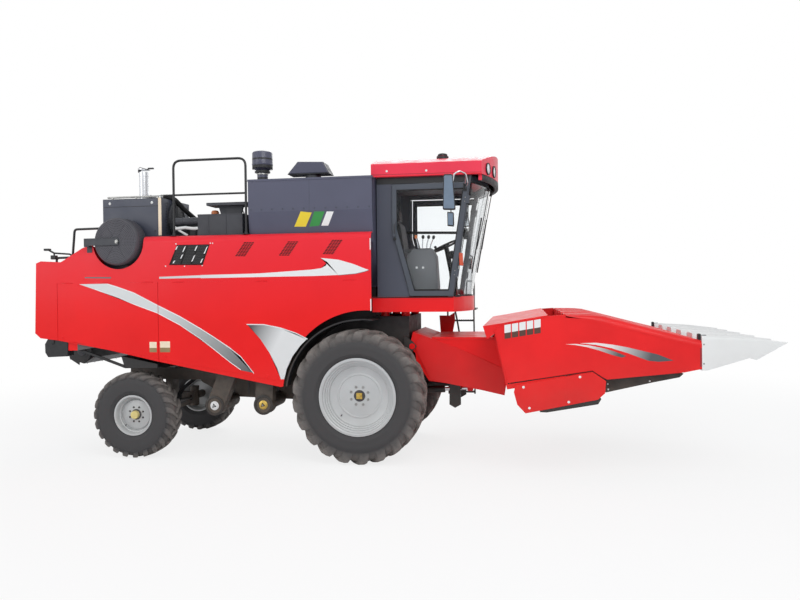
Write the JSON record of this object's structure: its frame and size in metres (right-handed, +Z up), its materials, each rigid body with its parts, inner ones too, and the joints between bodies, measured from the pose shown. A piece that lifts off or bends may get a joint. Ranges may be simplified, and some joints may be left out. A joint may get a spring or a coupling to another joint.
{
  "type": "self-propelled maize and grain combine harvester",
  "caption": "Red self-propelled combine harvester with a row-crop maize header, glazed cab, grain tank and rotary screen",
  "frame": {"origin": "bottom centre of the bounding box, on the floor", "axes": "+X forward, +Y to the machine's left, +Z up"},
  "size_m": [9.577, 3.28, 4.258],
  "materials": {
    "red_paint": "gloss",
    "dark_paint": "satin",
    "slate_paint": "satin",
    "black_paint": "satin",
    "grey_paint": "satin",
    "rim_paint": "satin",
    "tyre_rubber": "matte",
    "window_glass": "clear",
    "chrome_plate": "polished",
    "bright_steel": "worn",
    "white_plastic": "matte",
    "black_plastic": "matte",
    "seat_cover": "matte"
  },
  "bodies": {
    "harvester": {"chassis_frame": "dark_paint", "front_axle": "dark_paint", "rear_axle": "dark_paint", "separator_body": "dark_paint", "grain_elevators": "grey_paint", "straw_chopper": "black_paint", "side_shell_right": "red_paint", "side_shell_left": "red_paint", "rear_hood": "red_paint", "engine_deck": "dark_paint", "engine": "dark_paint", "radiator_box": "dark_paint", "exhaust_pipe": "chrome_plate", "pre_cleaner": "black_plastic", "handrails": "black_paint", "grain_tank": "slate_paint", "tank_fill_auger": "dark_paint", "screen_arm": "dark_paint", "cab_base": "red_paint", "cab_frame": "black_paint", "cab_roof": "red_paint", "cab_glass": "window_glass", "operator_seat": "seat_cover", "cab_controls": "black_plastic", "ladder": "black_paint"},
    "cab_door_right": {"cab_door_right": "black_paint", "door_glass_right": "window_glass", "mirror_right": "black_plastic"},
    "cab_door_left": {"cab_door_left": "black_paint", "door_glass_left": "window_glass", "mirror_left": "black_plastic"},
    "service_door_rear_right": {"service_door_rear_right": "red_paint"},
    "service_door_front_right": {"service_door_front_right": "red_paint"},
    "service_door_rear_left": {"service_door_rear_left": "red_paint"},
    "service_door_front_left": {"service_door_front_left": "red_paint"},
    "unloading_auger": {"unloading_auger": "red_paint"},
    "rotary_screen": {"rotary_screen": "dark_paint"},
    "knuckle_right": {"steering_knuckle_right": "dark_paint"},
    "knuckle_left": {"steering_knuckle_left": "dark_paint"},
    "tie_rod": {"tie_rod": "bright_steel"},
    "wheel_front_right": {"tyre_front_right": "tyre_rubber", "rim_front_right": "rim_paint"},
    "wheel_front_left": {"tyre_front_left": "tyre_rubber", "rim_front_left": "rim_paint"},
    "wheel_rear_right": {"tyre_rear_right": "tyre_rubber", "rim_rear_right": "rim_paint"},
    "wheel_rear_left": {"tyre_rear_left": "tyre_rubber", "rim_rear_left": "rim_paint"},
    "header": {"feeder_house": "red_paint", "header_frame": "red_paint", "divider_hoods": "red_paint", "snout_points": "white_plastic", "row_units": "dark_paint", "gathering_chains": "bright_steel"},
    "header_auger": {"header_auger": "grey_paint"},
    "lift_barrels": {"lift_barrels": "black_paint"},
    "lift_rods": {"lift_rods": "chrome_plate"}
  },
  "joints": [
    {"name": "wheel_front_right_spin", "type": "hinge", "parent": "harvester", "child": "wheel_front_right", "pos_m": [-0.265, -0.996, 0.8775], "axis": [0, 1, 0], "continuous": true},
    {"name": "wheel_front_left_spin", "type": "hinge", "parent": "harvester", "child": "wheel_front_left", "pos_m": [-0.265, 0.996, 0.8775], "axis": [0, 1, 0], "continuous": true},
    {"name": "steer_right", "type": "hinge", "parent": "harvester", "child": "knuckle_right", "pos_m": [-3.39, -0.745, 0.588], "axis": [0, 0, 1], "range_deg": [-35, 35]},
    {"name": "steer_left", "type": "hinge", "parent": "harvester", "child": "knuckle_left", "pos_m": [-3.39, 0.745, 0.588], "axis": [0, 0, 1], "range_deg": [-35, 35]},
    {"name": "tie_rod_pivot", "type": "hinge", "parent": "knuckle_right", "child": "tie_rod", "pos_m": [-3.61, -0.745, 0.47], "axis": [0, 0, 1], "range_deg": [-35, 35]},
    {"name": "wheel_rear_right_spin", "type": "hinge", "parent": "knuckle_right", "child": "wheel_rear_right", "pos_m": [-3.39, -1.017, 0.588], "axis": [0, 1, 0], "continuous": true},
    {"name": "wheel_rear_left_spin", "type": "hinge", "parent": "knuckle_left", "child": "wheel_rear_left", "pos_m": [-3.39, 1.017, 0.588], "axis": [0, 1, 0], "continuous": true},
    {"name": "header_lift", "type": "hinge", "parent": "harvester", "child": "header", "pos_m": [0.385, 0, 1.5], "axis": [0, -1, 0], "range_deg": [-19, 6]},
    {"name": "header_auger_spin", "type": "hinge", "parent": "header", "child": "header_auger", "pos_m": [2.005, 0, 1.45], "axis": [0, 1, 0], "continuous": true},
    {"name": "lift_barrel_pivot", "type": "hinge", "parent": "harvester", "child": "lift_barrels", "pos_m": [-0.035, 0, 0.85], "axis": [0, -1, 0], "range_deg": [-13, 5]},
    {"name": "lift_rod_slide", "type": "slide", "parent": "lift_barrels", "child": "lift_rods", "axis": [0.9989, 0, 0.047], "range_m": [-0.24, 0.08]},
    {"name": "cab_door_right_hinge", "type": "hinge", "parent": "harvester", "child": "cab_door_right", "pos_m": [0.975, -0.922, 2.176], "axis": [0.1496, 0, 0.9887], "range_deg": [0, 75]},
    {"name": "cab_door_left_hinge", "type": "hinge", "parent": "harvester", "child": "cab_door_left", "pos_m": [0.975, 0.922, 2.176], "axis": [0.1496, 0, 0.9887], "range_deg": [-75, 0]},
    {"name": "service_door_rear_right_hinge", "type": "hinge", "parent": "harvester", "child": "service_door_rear_right", "pos_m": [-3.705, -1.225, 2.3927], "axis": [1, 0, 0], "range_deg": [-80, 0]},
    {"name": "service_door_rear_left_hinge", "type": "hinge", "parent": "harvester", "child": "service_door_rear_left", "pos_m": [-3.705, 1.225, 2.3927], "axis": [1, 0, 0], "range_deg": [0, 80]},
    {"name": "service_door_front_right_hinge", "type": "hinge", "parent": "harvester", "child": "service_door_front_right", "pos_m": [-1.505, -1.225, 2.3927], "axis": [1, 0, 0], "range_deg": [-80, 0]},
    {"name": "service_door_front_left_hinge", "type": "hinge", "parent": "harvester", "child": "service_door_front_left", "pos_m": [-1.505, 1.225, 2.3927], "axis": [1, 0, 0], "range_deg": [0, 80]},
    {"name": "unloading_auger_swing", "type": "hinge", "parent": "harvester", "child": "unloading_auger", "pos_m": [-0.865, 1.4, 2.62], "axis": [0, 0, 1], "range_deg": [-100, 0]},
    {"name": "rotary_screen_spin", "type": "hinge", "parent": "harvester", "child": "rotary_screen", "pos_m": [-3.532, -1.2, 2.944], "axis": [0, 1, 0], "continuous": true}
  ],
  "couplings": [
    {"joint": "steer_left", "follows": "steer_right", "ratio": 1},
    {"joint": "tie_rod_pivot", "follows": "steer_right", "ratio": -1},
    {"joint": "lift_barrel_pivot", "follows": "header_lift", "ratio": 0.63},
    {"joint": "lift_rod_slide", "follows": "header_lift", "m_per_rad": 0.6532}
  ]
}
